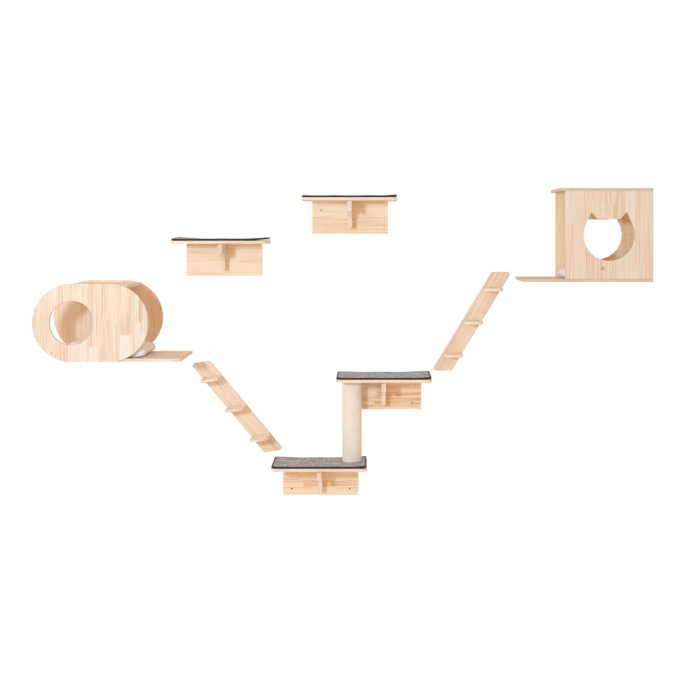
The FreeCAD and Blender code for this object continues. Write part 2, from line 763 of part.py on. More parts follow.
def draw_cat_face(sketch):
    """A round head with two pointed ears: an arc, and straight ear sides tangent to it."""
    middle = number("sizes.cube_height / 2")
    radius = number("sizes.face_radius")
    tip = vector("sizes.ear_tip_x", "sizes.ear_tip_z", "0")
    lean = math.atan2(tip.y, tip.x) - math.acos(radius / tip.Length)
    touch = FreeCAD.Vector(radius * math.cos(lean), radius * math.sin(lean), 0)
    base = vector("sizes.ear_base_x", "sizes.face_crown", "0")
    right = [touch, tip, base]
    left = [FreeCAD.Vector(-point.x, point.y, 0) for point in reversed(right)]
    rise = FreeCAD.Vector(0, middle, 0)
    path = [point + rise for point in right + left]
    for before, after in zip(path, path[1:]):
        sketch.addGeometry(Part.LineSegment(before, after))
    circle = Part.Circle(rise, UP, radius)
    arc = sketch.addGeometry(Part.ArcOfCircle(circle, math.pi - lean, 2 * math.pi + lean))
    for line in range(4):
        sketch.addConstraint(Sketcher.Constraint("Coincident", line, 2, line + 1, 1))
    sketch.addConstraint(Sketcher.Constraint("Tangent", 4, 2, arc, 1))
    sketch.addConstraint(Sketcher.Constraint("Tangent", arc, 2, 0, 1))
    hold(sketch, "Radius", arc, size="sizes.face_radius")
    hold(sketch, "DistanceX", -1, 1, arc, 3, size="0")
    hold(sketch, "DistanceY", -1, 1, arc, 3, size="sizes.cube_height / 2")
    ear = "sizes.cube_height / 2 + sizes.ear_tip_z"
    crown = "sizes.cube_height / 2 + sizes.face_crown"
    hold_point(sketch, 0, 2, "sizes.ear_tip_x", ear)
    hold_point(sketch, 1, 2, "sizes.ear_base_x", crown)
    hold_point(sketch, 2, 2, "-sizes.ear_base_x", crown)
    hold_point(sketch, 3, 2, "-sizes.ear_tip_x", ear)


def make_face_panel(label, foot):
    """A panel between floor and roof with the cat-face doorway sawn out."""
    body = new_body(label, CUBE)
    sketch = new_sketch(body, "XZ_Plane", foot)
    draw_rectangle(sketch, f"-{CUBE_HALF}", CUBE_HALF, THICK, CUBE_ROOF_Z)
    add_pad(body, sketch, THICK)
    face = new_sketch(body, "XZ_Plane")
    draw_cat_face(face)
    cut_through(body, face)
    high = number("sizes.cube_height / 2 + sizes.ear_tip_z") - ROUND
    top = number(CUBE_ROOF_Z) - ROUND
    round_corners(body, TO_WALL, "sizes.ear_tip_round", lambda point: high < point.z < top)
    return body


def make_cube_board(label, height, left_reach, screws, corner=None):
    """The roof or the floor, lying over or under the panels and screwed to them."""
    body = new_body(label, CUBE)
    sketch = new_sketch(body, "XY_Plane", height)
    left = f"-({CUBE_HALF} + {left_reach})"
    draw_rectangle(sketch, left, CUBE_HALF, "-sizes.cube_depth", "0")
    add_pad(body, sketch, THICK)
    if corner:
        limit = number(left) + ROUND
        middle = -number("sizes.cube_depth") / 2
        round_corners(body, UP, corner, lambda point: point.x < limit and point.y < middle)
    ease_edges(body, UP)
    drill(body, screws, sunk=True)


def make_cube_side():
    """The closed right side, between the face panels."""
    body = new_body("cube_side_panel", CUBE)
    sketch = new_sketch(body, "XY_Plane", THICK)
    inner = f"{CUBE_HALF} - {THICK}"
    draw_rectangle(sketch, inner, CUBE_HALF, f"-sizes.cube_depth + {THICK}", f"-{THICK}")
    add_pad(body, sketch, f"({CUBE_ROOF_Z} - {THICK})")
    drill(body, BACK_SCREWS + FRONT_SCREWS)


def make_cube():
    """The square house: floor with a landing, roof, two cat-face panels, one side, a pad."""
    back = make_face_panel("cube_back_panel", "0")
    front = make_face_panel("cube_front_panel", f"sizes.cube_depth - {THICK}")
    drill(back, FLOOR_SCREWS[:2] + ROOF_SCREWS[:2])
    drill(front, FLOOR_SCREWS[2:] + ROOF_SCREWS[2:])
    drill(back, BACK_SCREWS, sunk=True)
    drill(front, FRONT_SCREWS, sunk=True)
    across = "sizes.cube_hole_spread / 2"
    rise = "sizes.cube_hole_rise / 2"
    middle = "sizes.cube_height / 2"
    bore_walls(back, [(f"{a}{across}", f"{middle} {b} {rise}") for a in ("-", "") for b in "-+"])
    make_cube_side()
    make_cube_board("cube_roof_board", CUBE_ROOF_Z, "sizes.roof_overhang", ROOF_SCREWS)
    make_cube_board("cube_floor_board", "0", "sizes.landing_reach", FLOOR_SCREWS,
                    "sizes.cube_landing_corner")
    resting = {"x": f"{CUBE['x']} + sizes.cube_cushion_shift",
               "y": "-sizes.cube_depth / 2",
               "z": f"{CUBE['z']} + {THICK} + sizes.cushion_rest_gap"}
    make_cushion("cube_cushion", resting, "sizes.cube_cushion_length",
                 f"(sizes.cube_depth - 2 * {THICK} - 2 * sizes.cushion_margin)",
                 "sizes.cube_cushion_thickness")
    screws = BACK_SCREWS + FRONT_SCREWS + FLOOR_SCREWS + ROOF_SCREWS
    add_fasteners("cube_screws", CUBE, screws)


# ---------------------------------------------------------------- ladders

RIGHT_LADDER = {"x": "sizes.right_ladder_x", "y": "0", "z": "sizes.right_ladder_z"}
LEFT_LADDER = {"x": "sizes.left_ladder_x", "y": "0", "z": "sizes.left_ladder_z",
               "turn": "sizes.left_ladder_turn"}
STEP_RISES = ("-sizes.step_pitch", "0", "sizes.step_pitch")


def step_middle(lean, rise):
    """Across the wall, where the plank's middle line is at a height."""
    return f"{lean} * sizes.ladder_lean * ({rise}) / sizes.ladder_height"


def step_screws(lean, rise):
    """The two screws of one step, driven from the plank's back."""
    middle = step_middle(lean, rise)
    half = "sizes.step_screw_spread / 2"
    return [(f"{middle} {side} {half}", "0", rise, TO_ROOM) for side in "-+"]


def make_plank(name, unit, lean):
    """The leaning plank: a parallelogram with level ends, its corners rounded."""
    body = new_body(f"{name}_plank", unit)
    sketch = new_sketch(body, "XZ_Plane")
    half = "sizes.ladder_width / 2"
    shift = f"{lean} * sizes.ladder_lean / 2"
    high = "sizes.ladder_height / 2"
    corners = [(f"-{half} - {shift}", f"-{high}"), (f"{half} - {shift}", f"-{high}")]
    corners += [(f"{half} + {shift}", high), (f"-{half} + {shift}", high)]
    draw_polygon(sketch, corners)
    add_pad(body, sketch, THICK)
    round_corners(body, TO_WALL, "sizes.ladder_corner", lambda point: True)
    ease_edges(body, TO_WALL)
    hole_z = f"({high} - sizes.ladder_hole_from_end)"
    bore_walls(body, [(shift, hole_z), (f"-({shift})", f"-{hole_z}")])
    for rise in STEP_RISES:
        drill(body, step_screws(lean, rise), sunk=True)


def make_step(label, unit, lean, rise):
    """A level step standing out of the plank, its front corners rounded."""
    body = new_body(label, unit)
    sketch = new_sketch(body, "XY_Plane", f"{rise} - {THICK} / 2")
    middle = step_middle(lean, rise)
    half = "sizes.step_width / 2"
    front = f"-({THICK} + sizes.step_depth)"
    draw_rectangle(sketch, f"{middle} - {half}", f"{middle} + {half}", front, f"-{THICK}")
    add_pad(body, sketch, THICK)
    limit = number(front) + ROUND
    round_corners(body, UP, "sizes.step_corner", lambda point: point.y < limit)
    ease_edges(body, UP)
    drill(body, step_screws(lean, rise))


def make_ladder(name, unit, lean):
    """One ladder: plank, three steps and the screws through the plank's back."""
    make_plank(name, unit, lean)
    for count, rise in enumerate(STEP_RISES, 1):
        make_step(f"{name}_step_{count}", unit, lean, rise)
    screws = [spot for rise in STEP_RISES for spot in step_screws(lean, rise)]
    add_fasteners(f"{name}_screws", unit, screws)


# ---------------------------------------------------------------- the whole set


def check_document():
    """Stop on a failed object, a bad shape, a cut that removed nothing or a name used twice."""
    for item in document.Objects:
        if {"Invalid", "Error"} & set(item.State):
            raise RuntimeError(f"{item.Label} failed: {item.State}")
    for base, cut in cuts:
        if cut.Shape.Volume > base.Shape.Volume - ROUND:
            raise RuntimeError(f"{cut.Label} cut nothing")
    for node in nodes:
        if node.Shape.isNull() or not node.Shape.isValid():
            raise RuntimeError(f"{node.Label} has no valid shape")
    if len({node.Label for node in nodes}) != len(nodes):
        raise RuntimeError("two nodes share a name")


def export_nodes():
    """Write each node's shape to a file of its own."""
    os.makedirs("parts", exist_ok=True)
    for node in nodes:
        node.Shape.exportStep(f"parts/{node.Label}.step")


post_spot = ("sizes.post_x", "-sizes.post_from_wall")
post_from_middle = ("sizes.post_x - sizes.middle_shelf_x", "-sizes.post_from_wall")
make_shelf("lower_shelf", LOWER_SHELF, [(*post_spot, "0", UP)], [post_spot])
make_shelf("middle_shelf", MIDDLE_SHELF, [(*post_from_middle, THICK, DOWN)])
make_shelf("left_shelf", LEFT_SHELF)
make_shelf("top_shelf", TOP_SHELF)
make_post()
make_capsule()
make_cube()
make_ladder("left_ladder", LEFT_LADDER, "-1")
make_ladder("right_ladder", RIGHT_LADDER, "1")
document.recompute()
check_document()
export_nodes()
print(f"{len(nodes)} nodes")
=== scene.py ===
"""Wall mounted cat tree: four carpeted shelves, a scratching post, two stepped planks and two
pine houses, as they hang on a wall.  +X right, +Y into the wall, +Z up, metres."""

import math

import bpy
import numpy as np
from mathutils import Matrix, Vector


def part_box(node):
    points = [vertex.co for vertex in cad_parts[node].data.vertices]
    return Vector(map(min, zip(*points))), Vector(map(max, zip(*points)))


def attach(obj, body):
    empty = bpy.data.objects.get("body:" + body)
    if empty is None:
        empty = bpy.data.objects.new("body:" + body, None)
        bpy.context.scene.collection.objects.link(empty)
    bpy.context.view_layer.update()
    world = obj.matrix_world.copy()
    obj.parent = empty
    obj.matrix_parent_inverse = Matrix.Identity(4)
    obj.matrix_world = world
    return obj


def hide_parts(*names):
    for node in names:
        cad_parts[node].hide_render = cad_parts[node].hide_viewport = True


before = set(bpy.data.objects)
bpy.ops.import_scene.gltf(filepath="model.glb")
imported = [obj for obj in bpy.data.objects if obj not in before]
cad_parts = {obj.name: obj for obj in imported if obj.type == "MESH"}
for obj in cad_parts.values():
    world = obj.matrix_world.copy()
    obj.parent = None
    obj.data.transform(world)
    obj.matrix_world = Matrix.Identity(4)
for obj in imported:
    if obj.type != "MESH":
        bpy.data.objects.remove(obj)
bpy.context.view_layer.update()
scene = bpy.context.scene


# ---------------------------------------------------------------- camera, lamps and floor
# The set is seen from the front, 4.8 m from the wall, by a level camera whose lens is shifted.
# One small cool lamp stands to the left in front, and the warm light of the room fills the
# shadows.


def linear(colour):
    """An sRGB hex colour as linear red, green, blue and an alpha of one."""
    shares = np.array([int(colour[i:i + 2], 16) for i in (1, 3, 5)]) / 255
    return (*np.where(shares < 0.04045, shares / 12.92, ((shares + 0.055) / 1.055) ** 2.4), 1)


def add(tree, kind, settings=(), **links):
    """A node of this kind.  Settings are its own values, by attribute name or by socket
    name or number; links are the sockets that feed it, in_0 and so on for numbered ones."""
    node = tree.nodes.new(kind)
    for name, value in dict(settings).items():
        if isinstance(name, str) and hasattr(node, name):
            setattr(node, name, value)
        else:
            node.inputs[name].default_value = value
    for name, socket in links.items():
        name = int(name[3:]) if name.startswith("in_") else name.replace("_", " ")
        tree.links.new(socket, node.inputs[name])
    return node


def new_finish(name):
    """An empty node material, its tree and its output node."""
    finish = bpy.data.materials.new(name)
    finish.use_nodes = True
    finish.node_tree.nodes.clear()
    return finish, finish.node_tree, finish.node_tree.nodes.new("ShaderNodeOutputMaterial")


view = bpy.data.cameras.new("view")
view.lens = 58.66
view.shift_x = -0.0441
view.shift_y = -0.1618
view.clip_end = 60
camera = bpy.data.objects.new("view", view)
camera.location = (0.213, -4.8, 1.08)
camera.rotation_euler = (math.radians(90), 0, 0)
scene.collection.objects.link(camera)
scene.camera = camera
scene.view_settings.view_transform = "Standard"

room = bpy.data.worlds.new("white room")
room.use_nodes = True
scene.world = room
tree = room.node_tree
tree.nodes.clear()
rays = add(tree, "ShaderNodeLightPath")
seen = add(tree, "ShaderNodeMath", {"operation": "MAXIMUM"},
           in_0=rays.outputs["Is Camera Ray"], in_1=rays.outputs["Is Glossy Ray"])
seen = add(tree, "ShaderNodeMath", {"operation": "MAXIMUM"},
           in_0=seen.outputs[0], in_1=rays.outputs["Is Transmission Ray"])
fill = add(tree, "ShaderNodeBackground", {"Color": linear("#FFE1C3"), "Strength": 0.83})
white = add(tree, "ShaderNodeBackground", {"Color": (1, 1, 1, 1), "Strength": 1})
both = add(tree, "ShaderNodeMixShader", in_0=seen.outputs[0], in_1=fill.outputs[0],
           in_2=white.outputs[0])
out = add(tree, "ShaderNodeOutputWorld", Surface=both.outputs[0])

lamp = bpy.data.lights.new("studio_lamp", "AREA")
lamp.shape = "DISK"
lamp.size = 0.42
lamp.energy = 76
lamp.color = linear("#C6E2FF")[:3]
lamp_stand = bpy.data.objects.new("studio_lamp", lamp)
lamp_stand.location = (-1.4, -3.9, 1.42)
aim = np.array([0.1, 0, 0.6]) - np.array(lamp_stand.location)
lamp_stand.rotation_euler = (math.atan2(math.hypot(*aim[:2]), -aim[2]), 0,
                             math.atan2(aim[1], aim[0]) - math.pi / 2)
scene.collection.objects.link(lamp_stand)

floor_finish, tree, out = new_finish("white studio floor paint")
rays = add(tree, "ShaderNodeLightPath")
paint = add(tree, "ShaderNodeBsdfDiffuse", {"Color": linear("#F4F2F0")})
faint = add(tree, "ShaderNodeBsdfDiffuse", {"Color": (0.22, 0.22, 0.22, 1)})
glow = add(tree, "ShaderNodeEmission", {"Strength": 0.9})
clean = add(tree, "ShaderNodeAddShader", in_0=faint.outputs[0], in_1=glow.outputs[0])
both = add(tree, "ShaderNodeMixShader", in_0=rays.outputs["Is Camera Ray"],
           in_1=paint.outputs[0], in_2=clean.outputs[0])
tree.links.new(both.outputs[0], out.inputs["Surface"])
floor_mesh = bpy.data.meshes.new("floor")
FLOOR = -1.05
FLOOR_REACH = 9
floor_mesh.from_pydata([(x * FLOOR_REACH, y * FLOOR_REACH, FLOOR)
                        for x, y in ((-1, -1), (1, -1), (1, 1), (-1, 1))], [], [(0, 1, 2, 3)])
floor_mesh.materials.append(floor_finish)
floor = bpy.data.objects.new("floor", floor_mesh)
scene.collection.objects.link(floor)


# ---------------------------------------------------------------- pine boards
# Every board is edge-glued pine: staves about 42 mm wide, each of shorter lengths joined by
# fingers, sanded and left without varnish, so it is dull with fine stripes along the grain.

STAVE = 0.042
STAVE_LENGTH = 0.36
FINGER = 0.007
FINGER_DEPTH = 0.006
EASED_EDGE = 0.0012
# Features of the grain's noise to the metre, and how far apart in it the lengths lie.
GRAIN_SCALE = (4, 150, 150)
LENGTHS_APART = 90
# The most that a stave's joints are shifted against its neighbours', in lengths.
STAVE_SHIFT = 7.3


def pine(name, turn=(0, 0, 0), shift=(0, 0, 0), pale="#F0E8DC", warm="#ECD9C4",
         stripe="#E2C2A4", rings_share=0.5, knots=()):
    """Sanded edge-glued pine.  After the turn, x is along the grain, z across the staves.

    Each stave and each length in it gets its own tone; the ends of the lengths run in a
    zigzag of fingers.  Stripes are noise drawn out nearly 40 times along the grain, and
    growth rings, bands 7 mm apart that wander.
    """
    finish, tree, out = new_finish(name)
    place = add(tree, "ShaderNodeTexCoord").outputs["Object"]
    eased = add(tree, "ShaderNodeBevel", {"samples": 4, "Radius": EASED_EDGE})
    turned = add(tree, "ShaderNodeMapping", {"Rotation": turn, "Location": shift}, Vector=place)
    axes = add(tree, "ShaderNodeSeparateXYZ", Vector=turned.outputs[0])
    staves = add(tree, "ShaderNodeMath", {"operation": "DIVIDE", 1: STAVE},
                 in_0=axes.outputs["Z"])
    stave = add(tree, "ShaderNodeMath", {"operation": "FLOOR"}, in_0=staves.outputs[0])
    chance = add(tree, "ShaderNodeTexWhiteNoise", {"noise_dimensions": "1D"},
                 W=stave.outputs[0])
    fingers = add(tree, "ShaderNodeMath", {"operation": "PINGPONG", 1: FINGER / 2},
                  in_0=axes.outputs["Z"])
    finger = add(tree, "ShaderNodeMath",
                 {"operation": "MULTIPLY", 1: 2 * FINGER_DEPTH / FINGER / STAVE_LENGTH},
                 in_0=fingers.outputs[0])
    along = add(tree, "ShaderNodeMath", {"operation": "MULTIPLY", 1: 1 / STAVE_LENGTH},
                in_0=axes.outputs["X"])
    along = add(tree, "ShaderNodeMath", {"operation": "ADD"}, in_0=along.outputs[0],
                in_1=finger.outputs[0])
    along = add(tree, "ShaderNodeMath", {"operation": "MULTIPLY_ADD", 1: STAVE_SHIFT},
                in_0=chance.outputs["Value"], in_2=along.outputs[0])
    length = add(tree, "ShaderNodeMath", {"operation": "FLOOR"}, in_0=along.outputs[0])
    piece = add(tree, "ShaderNodeCombineXYZ", X=stave.outputs[0], Y=length.outputs[0])
    tone = add(tree, "ShaderNodeTexWhiteNoise", {"noise_dimensions": "2D"},
               Vector=piece.outputs[0])
    drawn = add(tree, "ShaderNodeVectorMath", {"operation": "MULTIPLY", 1: GRAIN_SCALE},
                in_0=turned.outputs[0])
    apart = add(tree, "ShaderNodeVectorMath", {"operation": "SCALE", "Scale": LENGTHS_APART},
                in_0=tone.outputs["Color"])
    grain_at = add(tree, "ShaderNodeVectorMath", {"operation": "ADD"},
                   in_0=drawn.outputs[0], in_1=apart.outputs[0])
    grain = add(tree, "ShaderNodeTexNoise", {"Scale": 1, "Detail": 3, "Distortion": 0.6},
                Vector=grain_at.outputs[0])
    broad_at = add(tree, "ShaderNodeVectorMath", {"operation": "MULTIPLY",
                                                  1: (0.35, 0.2, 0.2)},
                   in_0=grain_at.outputs[0])
    broad = add(tree, "ShaderNodeTexNoise", {"Scale": 1, "Detail": 2},
                Vector=broad_at.outputs[0])
    lines = add(tree, "ShaderNodeMapRange",
                {"From Min": 0.44, "From Max": 0.64, "To Min": 0, "To Max": 1},
                Value=grain.outputs[0])
    rings = add(tree, "ShaderNodeTexWave",
                {"bands_direction": "Z", "Scale": 0.3, "Distortion": 3.5, "Detail": 2,
                 "Detail Scale": 0.5}, Vector=grain_at.outputs[0])
    lines = add(tree, "ShaderNodeMath", {"operation": "MULTIPLY_ADD", 1: rings_share},
                in_0=rings.outputs["Fac"], in_2=lines.outputs[0])
    figure = add(tree, "ShaderNodeSeparateColor", Color=tone.outputs["Color"])
    figure = add(tree, "ShaderNodeMapRange", {"To Min": 0.2, "To Max": 0.85},
                 Value=figure.outputs["Green"])
    lines = add(tree, "ShaderNodeMath", {"operation": "MULTIPLY"}, in_0=lines.outputs[0],
                in_1=figure.outputs[0])
    toned = add(tree, "ShaderNodeMapRange", {"To Min": 0.15, "To Max": 0.8},
                Value=tone.outputs["Value"])
    ground = add(tree, "ShaderNodeMix",
                 {"data_type": "RGBA", 6: linear(pale), 7: linear(warm)},
                 in_0=toned.outputs[0])
    swell = add(tree, "ShaderNodeMapRange",
                {"From Min": 0.35, "From Max": 0.7, "To Min": 0, "To Max": 0.45},
                Value=broad.outputs[0])
    ground = add(tree, "ShaderNodeMix", {"data_type": "RGBA", 7: linear(warm)},
                 in_0=swell.outputs[0], in_6=ground.outputs[2])
    wood = add(tree, "ShaderNodeMix", {"data_type": "RGBA", 7: linear(stripe)},
               in_0=lines.outputs[0], in_6=ground.outputs[2])
    for spot, size in knots:
        near = add(tree, "ShaderNodeVectorMath", {"operation": "DISTANCE", 1: spot},
                   in_0=place)
        near = add(tree, "ShaderNodeMath", {"operation": "MULTIPLY_ADD", 1: size},
                   in_0=grain.outputs[0], in_2=near.outputs["Value"])
        dark = add(tree, "ShaderNodeMapRange",
                   {"From Min": size * 0.6, "From Max": size * 1.5, "To Min": 0.7, "To Max": 0},
                   Value=near.outputs[0])
        wood = add(tree, "ShaderNodeMix", {"data_type": "RGBA", 7: linear("#A9744A")},
                   in_0=dark.outputs[0], in_6=wood.outputs[2])
    relief = add(tree, "ShaderNodeBump", {"Strength": 0.12, "Distance": 0.0004},
                 Height=grain.outputs[0], Normal=eased.outputs[0])
    shader = add(tree, "ShaderNodeBsdfPrincipled",
                 {"Roughness": 0.62, "Specular IOR Level": 0.28},
                 Base_Color=wood.outputs[2], Normal=relief.outputs[0])
    tree.links.new(shader.outputs[0], out.inputs["Surface"])
    return finish


def wear(finish, *names):
    """These CAD nodes take the finish."""
    for name in names:
        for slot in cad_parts[name].material_slots:
            slot.material = finish


# Turns of the wood for a board whose grain stands upright, and for one that lies flat.
UPRIGHT = (0, math.radians(90), 0)
FLAT = (math.radians(90), 0, 0)

# No two shelves are cut from the same place in the wood, so each takes its own shift.
SHELVES = ("lower", "middle", "left", "top")
PLATE_STRIPES = ("#E4B680", "#DFAE76", "#E9C9A0", "#E4BF90")
for number, shelf in enumerate(SHELVES):
    wear(pine(f"pine {shelf} board", FLAT, (0.13 * number, 0, 0.017 * number),
              pale="#FDF3E4", warm="#F9EAD4"), f"{shelf}_shelf_board")
    wear(pine(f"pine {shelf} plate", (0, 0, 0), (0.21 * number, 0, 0.013 * number),
              pale="#FBF1E1", warm="#F7E5CB", stripe=PLATE_STRIPES[number],
              rings_share=0.6),
         f"{shelf}_shelf_backplate")
    wear(pine(f"pine {shelf} bracket", UPRIGHT, (0, 0.3 * number, 0.02),
              pale="#F8EBDC", warm="#F2DFCA"), f"{shelf}_shelf_bracket")

wear(pine("pine capsule front", UPRIGHT, pale="#F4F3EA", warm="#EFE4D0", stripe="#DBB998",
          rings_share=0.7, knots=(((-1.074, -0.32, 0.583), 0.006),)),
     "capsule_front_panel")
wear(pine("pine capsule back", UPRIGHT, (0.2, 0, 0.01), pale="#FBEFDF", warm="#F6DFC5",
          stripe="#E8C3A4"),
     "capsule_back_panel")
wear(pine("pine capsule boards", FLAT, (0, 0.1, 0.01), pale="#F2EEE6", warm="#EEE1D2"),
     "capsule_top_board", "capsule_floor_board")
wear(pine("pine cube front", UPRIGHT, (0.1, 0, 0), pale="#F4F0E8", warm="#EDE2D0", stripe="#E1C3A6",
          knots=(((1.168, -0.25, 0.922), 0.011),)), "cube_front_panel")
# The cube's back and side panels are paler and warmer than its other boards: painted light for the
# light that fills the inside of the cube.
wear(pine("pine cube walls, painted fill light", UPRIGHT, (0.33, 0, 0), pale="#FFF4DA", warm="#FFE4BC",
          stripe="#F0C694"),
     "cube_back_panel", "cube_side_panel")
wear(pine("pine cube boards", FLAT, (0.07, 0, 0), pale="#DED6C8", warm="#D8CAB6"),
     "cube_roof_board", "cube_floor_board")

# The planks' grain runs along them, about 40 and 31 degrees from upright.
LEANS = {"left": math.radians(90 + 40.2), "right": math.radians(90 - 31.3)}
for side, lean in LEANS.items():
    wear(pine(f"pine {side} plank", (0, lean, 0), (0.1, 0, 0.035), pale="#F7EEE0",
              warm="#F0DFC6"), f"{side}_ladder_plank")
    wear(pine(f"pine {side} steps", FLAT, (0.4, 0, 0), pale="#FDF5EC", warm="#F8EBDB"),
         *(f"{side}_ladder_step_{count}" for count in (1, 2, 3)))


# ---------------------------------------------------------------- screws
# Countersunk wood screws with pale heads hold the boards together; two bolts hold the post.

steel, tree, out = new_finish("cream lacquered steel, matt")
shader = add(tree, "ShaderNodeBsdfPrincipled",
             {"Base Color": linear("#FBF2E6"), "Roughness": 0.6})
tree.links.new(shader.outputs[0], out.inputs["Surface"])
wear(steel, "post_bolts", "capsule_screws", "cube_screws",
     *(f"{shelf}_shelf_screws" for shelf in SHELVES),
     *(f"{side}_ladder_screws" for side in LEANS))


def circle(count):
    """This many equal angles of a full turn, from zero."""
    return np.linspace(0, 2 * math.pi, count + 1)[:-1]


def new_piece(name, rows, closed_rows=False, finish=None):
    """A closed surface from a grid of points, rows by columns, where the columns go round.

    The first and last rows are joined to each other if closed, and are each shut with one
    face if not.
    """
    count, around, _ = rows.shape
    corner = np.arange(count * around).reshape(count, around)
    if closed_rows:
        corner = np.vstack([corner, corner[:1]])
    a, b = corner[:-1], corner[1:]
    faces = np.stack([a, np.roll(a, -1, 1), np.roll(b, -1, 1), b], -1).reshape(-1, 4)
    shut = [] if closed_rows else [corner[0][::-1].tolist(), corner[-1].tolist()]
    mesh = bpy.data.meshes.new(name)
    mesh.from_pydata(rows.reshape(-1, 3).tolist(), [], faces.tolist() + shut)
    mesh.polygons.foreach_set("use_smooth", np.ones(len(mesh.polygons), dtype=bool))
    mesh.materials.append(finish)
    piece = bpy.data.objects.new(name, mesh)
    scene.collection.objects.link(piece)
    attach(piece, "root")
    return piece


# Four wall screws, each a dome on a shank in a plate's hole, stand in the holes that look dark;
# their dark finish is partly dark zinc and partly painted shade for the shaded holes.
dark_zinc_hole_shade, tree, out = new_finish("dark zinc steel, painted hole shade")
shader = add(tree, "ShaderNodeBsdfPrincipled",
             {"Base Color": linear("#5E5046"), "Metallic": 0.6, "Roughness": 0.5})
tree.links.new(shader.outputs[0], out.inputs["Surface"])
# The shelf, the side (1 is right) and the row (1 is upper) of each screw's hole.
WALL_SCREWS = (("top", -1, 1), ("lower", -1, -1), ("lower", 1, -1), ("middle", 1, -1))
HOLE_SPREAD = 0.25
HOLE_RISE = 0.075
HOLES_OVER_PLATE_EDGE = 0.0645
# Radius, and way from the wall as a share of the plate's thickness.
SHANK_TO_HEAD = ((0.0001, 0), (0.0019, 0), (0.0019, 1), (0.003, 1.00005), (0.003, 1.08),
                 (0.0026, 1.13), (0.0017, 1.16), (0.0008, 1.165), (0.0001, 1.165))
turn = circle(16)
ring = np.stack([np.cos(turn), 0 * turn, np.sin(turn)], -1)
for shelf, side, level in WALL_SCREWS:
    low, high = np.array(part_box(f"{shelf}_shelf_backplate"))
    depth = high[1] - low[1]
    spot = np.array([(low[0] + high[0]) / 2 + side * HOLE_SPREAD / 2, high[1],
                     low[2] + HOLES_OVER_PLATE_EDGE + level * HOLE_RISE / 2])
    rows = np.stack([spot + radius * ring - (0, way * depth, 0) for radius, way in SHANK_TO_HEAD])
    new_piece(f"{shelf}_wall_screw_{'right' if side > 0 else 'left'}", rows, False, dark_zinc_hole_shade)


# ---------------------------------------------------------------- carpet mats
# A loop pile mat lies on each shelf, grey flecked with lighter and darker yarn, its edge
# bound with dark brown tape that was sewn over it.  Its ends curl up a little.


CORNER_POINTS = 9


def outline(low, high, radius, bend=0.0, spacing=0.008):
    """Points round a rectangle with rounded corners, counterclockwise seen from above.

    Its sides are drawn in by bend at their middles, as a parabola.
    """
    middle = (low + high) / 2
    half = (high - low) / 2
    arcs = []
    for turn, sign in enumerate(((1, 1), (-1, 1), (-1, -1), (1, -1))):
        sweep = np.linspace(0, math.pi / 2, CORNER_POINTS) + turn * math.pi / 2
        core = middle + np.array(sign) * (half - radius)
        arcs.append(core + radius * np.stack([np.cos(sweep), np.sin(sweep)], -1))
    track = []
    for arc, following in zip(arcs, arcs[1:] + arcs[:1]):
        start, end = arc[-1], following[0]
        steps = max(2, int(np.hypot(*(end - start)) / spacing))
        share = np.linspace(0, 1, steps + 1)[1:-1, None]
        track += [arc, start + (end - start) * share]
    points = np.vstack(track)
    share = (points - middle) / half
    pull = bend * (1 - share[:, ::-1] ** 2) * np.abs(share) ** 3 * np.sign(share)
    return points - pull


def at_heights(points, heights):
    """Plan points and their heights as one grid of points."""
    return np.concatenate([points, heights[..., None]], -1)


def squared(wave, power):
    """A cosine or sine raised to a power under its own sign, which squares its circle."""
    return np.sign(wave) * np.abs(wave) ** power


def way_out(track):
    """The direction out of a closed track at each point, square to it."""
    along = np.roll(track, -1, 0) - np.roll(track, 1, 0)
    along /= np.linalg.norm(along, axis=1, keepdims=True)
    return np.stack([along[:, 1], -along[:, 0]], -1)


CURL_STARTS = 0.2
CURL_POWER = 2.6
RIPPLE = 0.0007


def curl(x, y, middle, half, lifts):
    """How far the mat lifts at a point: a power of the way from CURL_STARTS to each end, more
    or less towards the back, and a faint ripple along the long edges."""
    across = (x - middle[0]) / half[0]
    back = (y - middle[1]) / half[1]
    left, right = (np.clip((sign * across - CURL_STARTS) / (1 - CURL_STARTS), 0, 1) ** CURL_POWER
                   for sign in (-1, 1))
    waves = RIPPLE * np.sin(across * 9 + back * 2) * np.abs(back)
    return waves + left * (lifts[0] + lifts[1] * back) + right * (lifts[2] + lifts[3] * back)


carpet, tree, out = new_finish("loop pile carpet, grey fleck")
# Loops 4 mm across are about a pixel, so tufts of 10 mm, shorter along Y, carry the fleck.
place = add(tree, "ShaderNodeTexCoord").outputs["Object"]
loops = add(tree, "ShaderNodeTexVoronoi", {"Scale": 230}, Vector=place)
yarn = add(tree, "ShaderNodeMapping", {"Scale": (1, 2.2, 1)}, Vector=place)
fleck = add(tree, "ShaderNodeTexNoise", {"Scale": 95, "Detail": 4, "Roughness": 0.75},
            Vector=yarn.outputs[0])
patch = add(tree, "ShaderNodeTexNoise", {"Scale": 26, "Detail": 2}, Vector=yarn.outputs[0])
mixed = add(tree, "ShaderNodeMath", {"operation": "MULTIPLY_ADD", 1: 0.35},
            in_0=patch.outputs[0], in_2=fleck.outputs[0])
tones = add(tree, "ShaderNodeValToRGB", Fac=mixed.outputs[0])
for stop, colour in ((0.5, "#55565F"), (0.62, "#898C99"), (0.72, "#B1B7C4"), (0.82, "#D8DEE9")):
    tones.color_ramp.elements.new(stop).color = linear(colour)
tones.color_ramp.elements.remove(tones.color_ramp.elements[0])
tones.color_ramp.elements.remove(tones.color_ramp.elements[-1])
pile = add(tree, "ShaderNodeBump", {"Strength": 0.8, "Distance": 0.0015},
           Height=loops.outputs["Distance"])
shader = add(tree, "ShaderNodeBsdfPrincipled",
             {"Roughness": 0.95, "Specular IOR Level": 0.1, "Sheen Weight": 0.2},
             Base_Color=tones.outputs[0], Normal=pile.outputs[0])
tree.links.new(shader.outputs[0], out.inputs["Surface"])

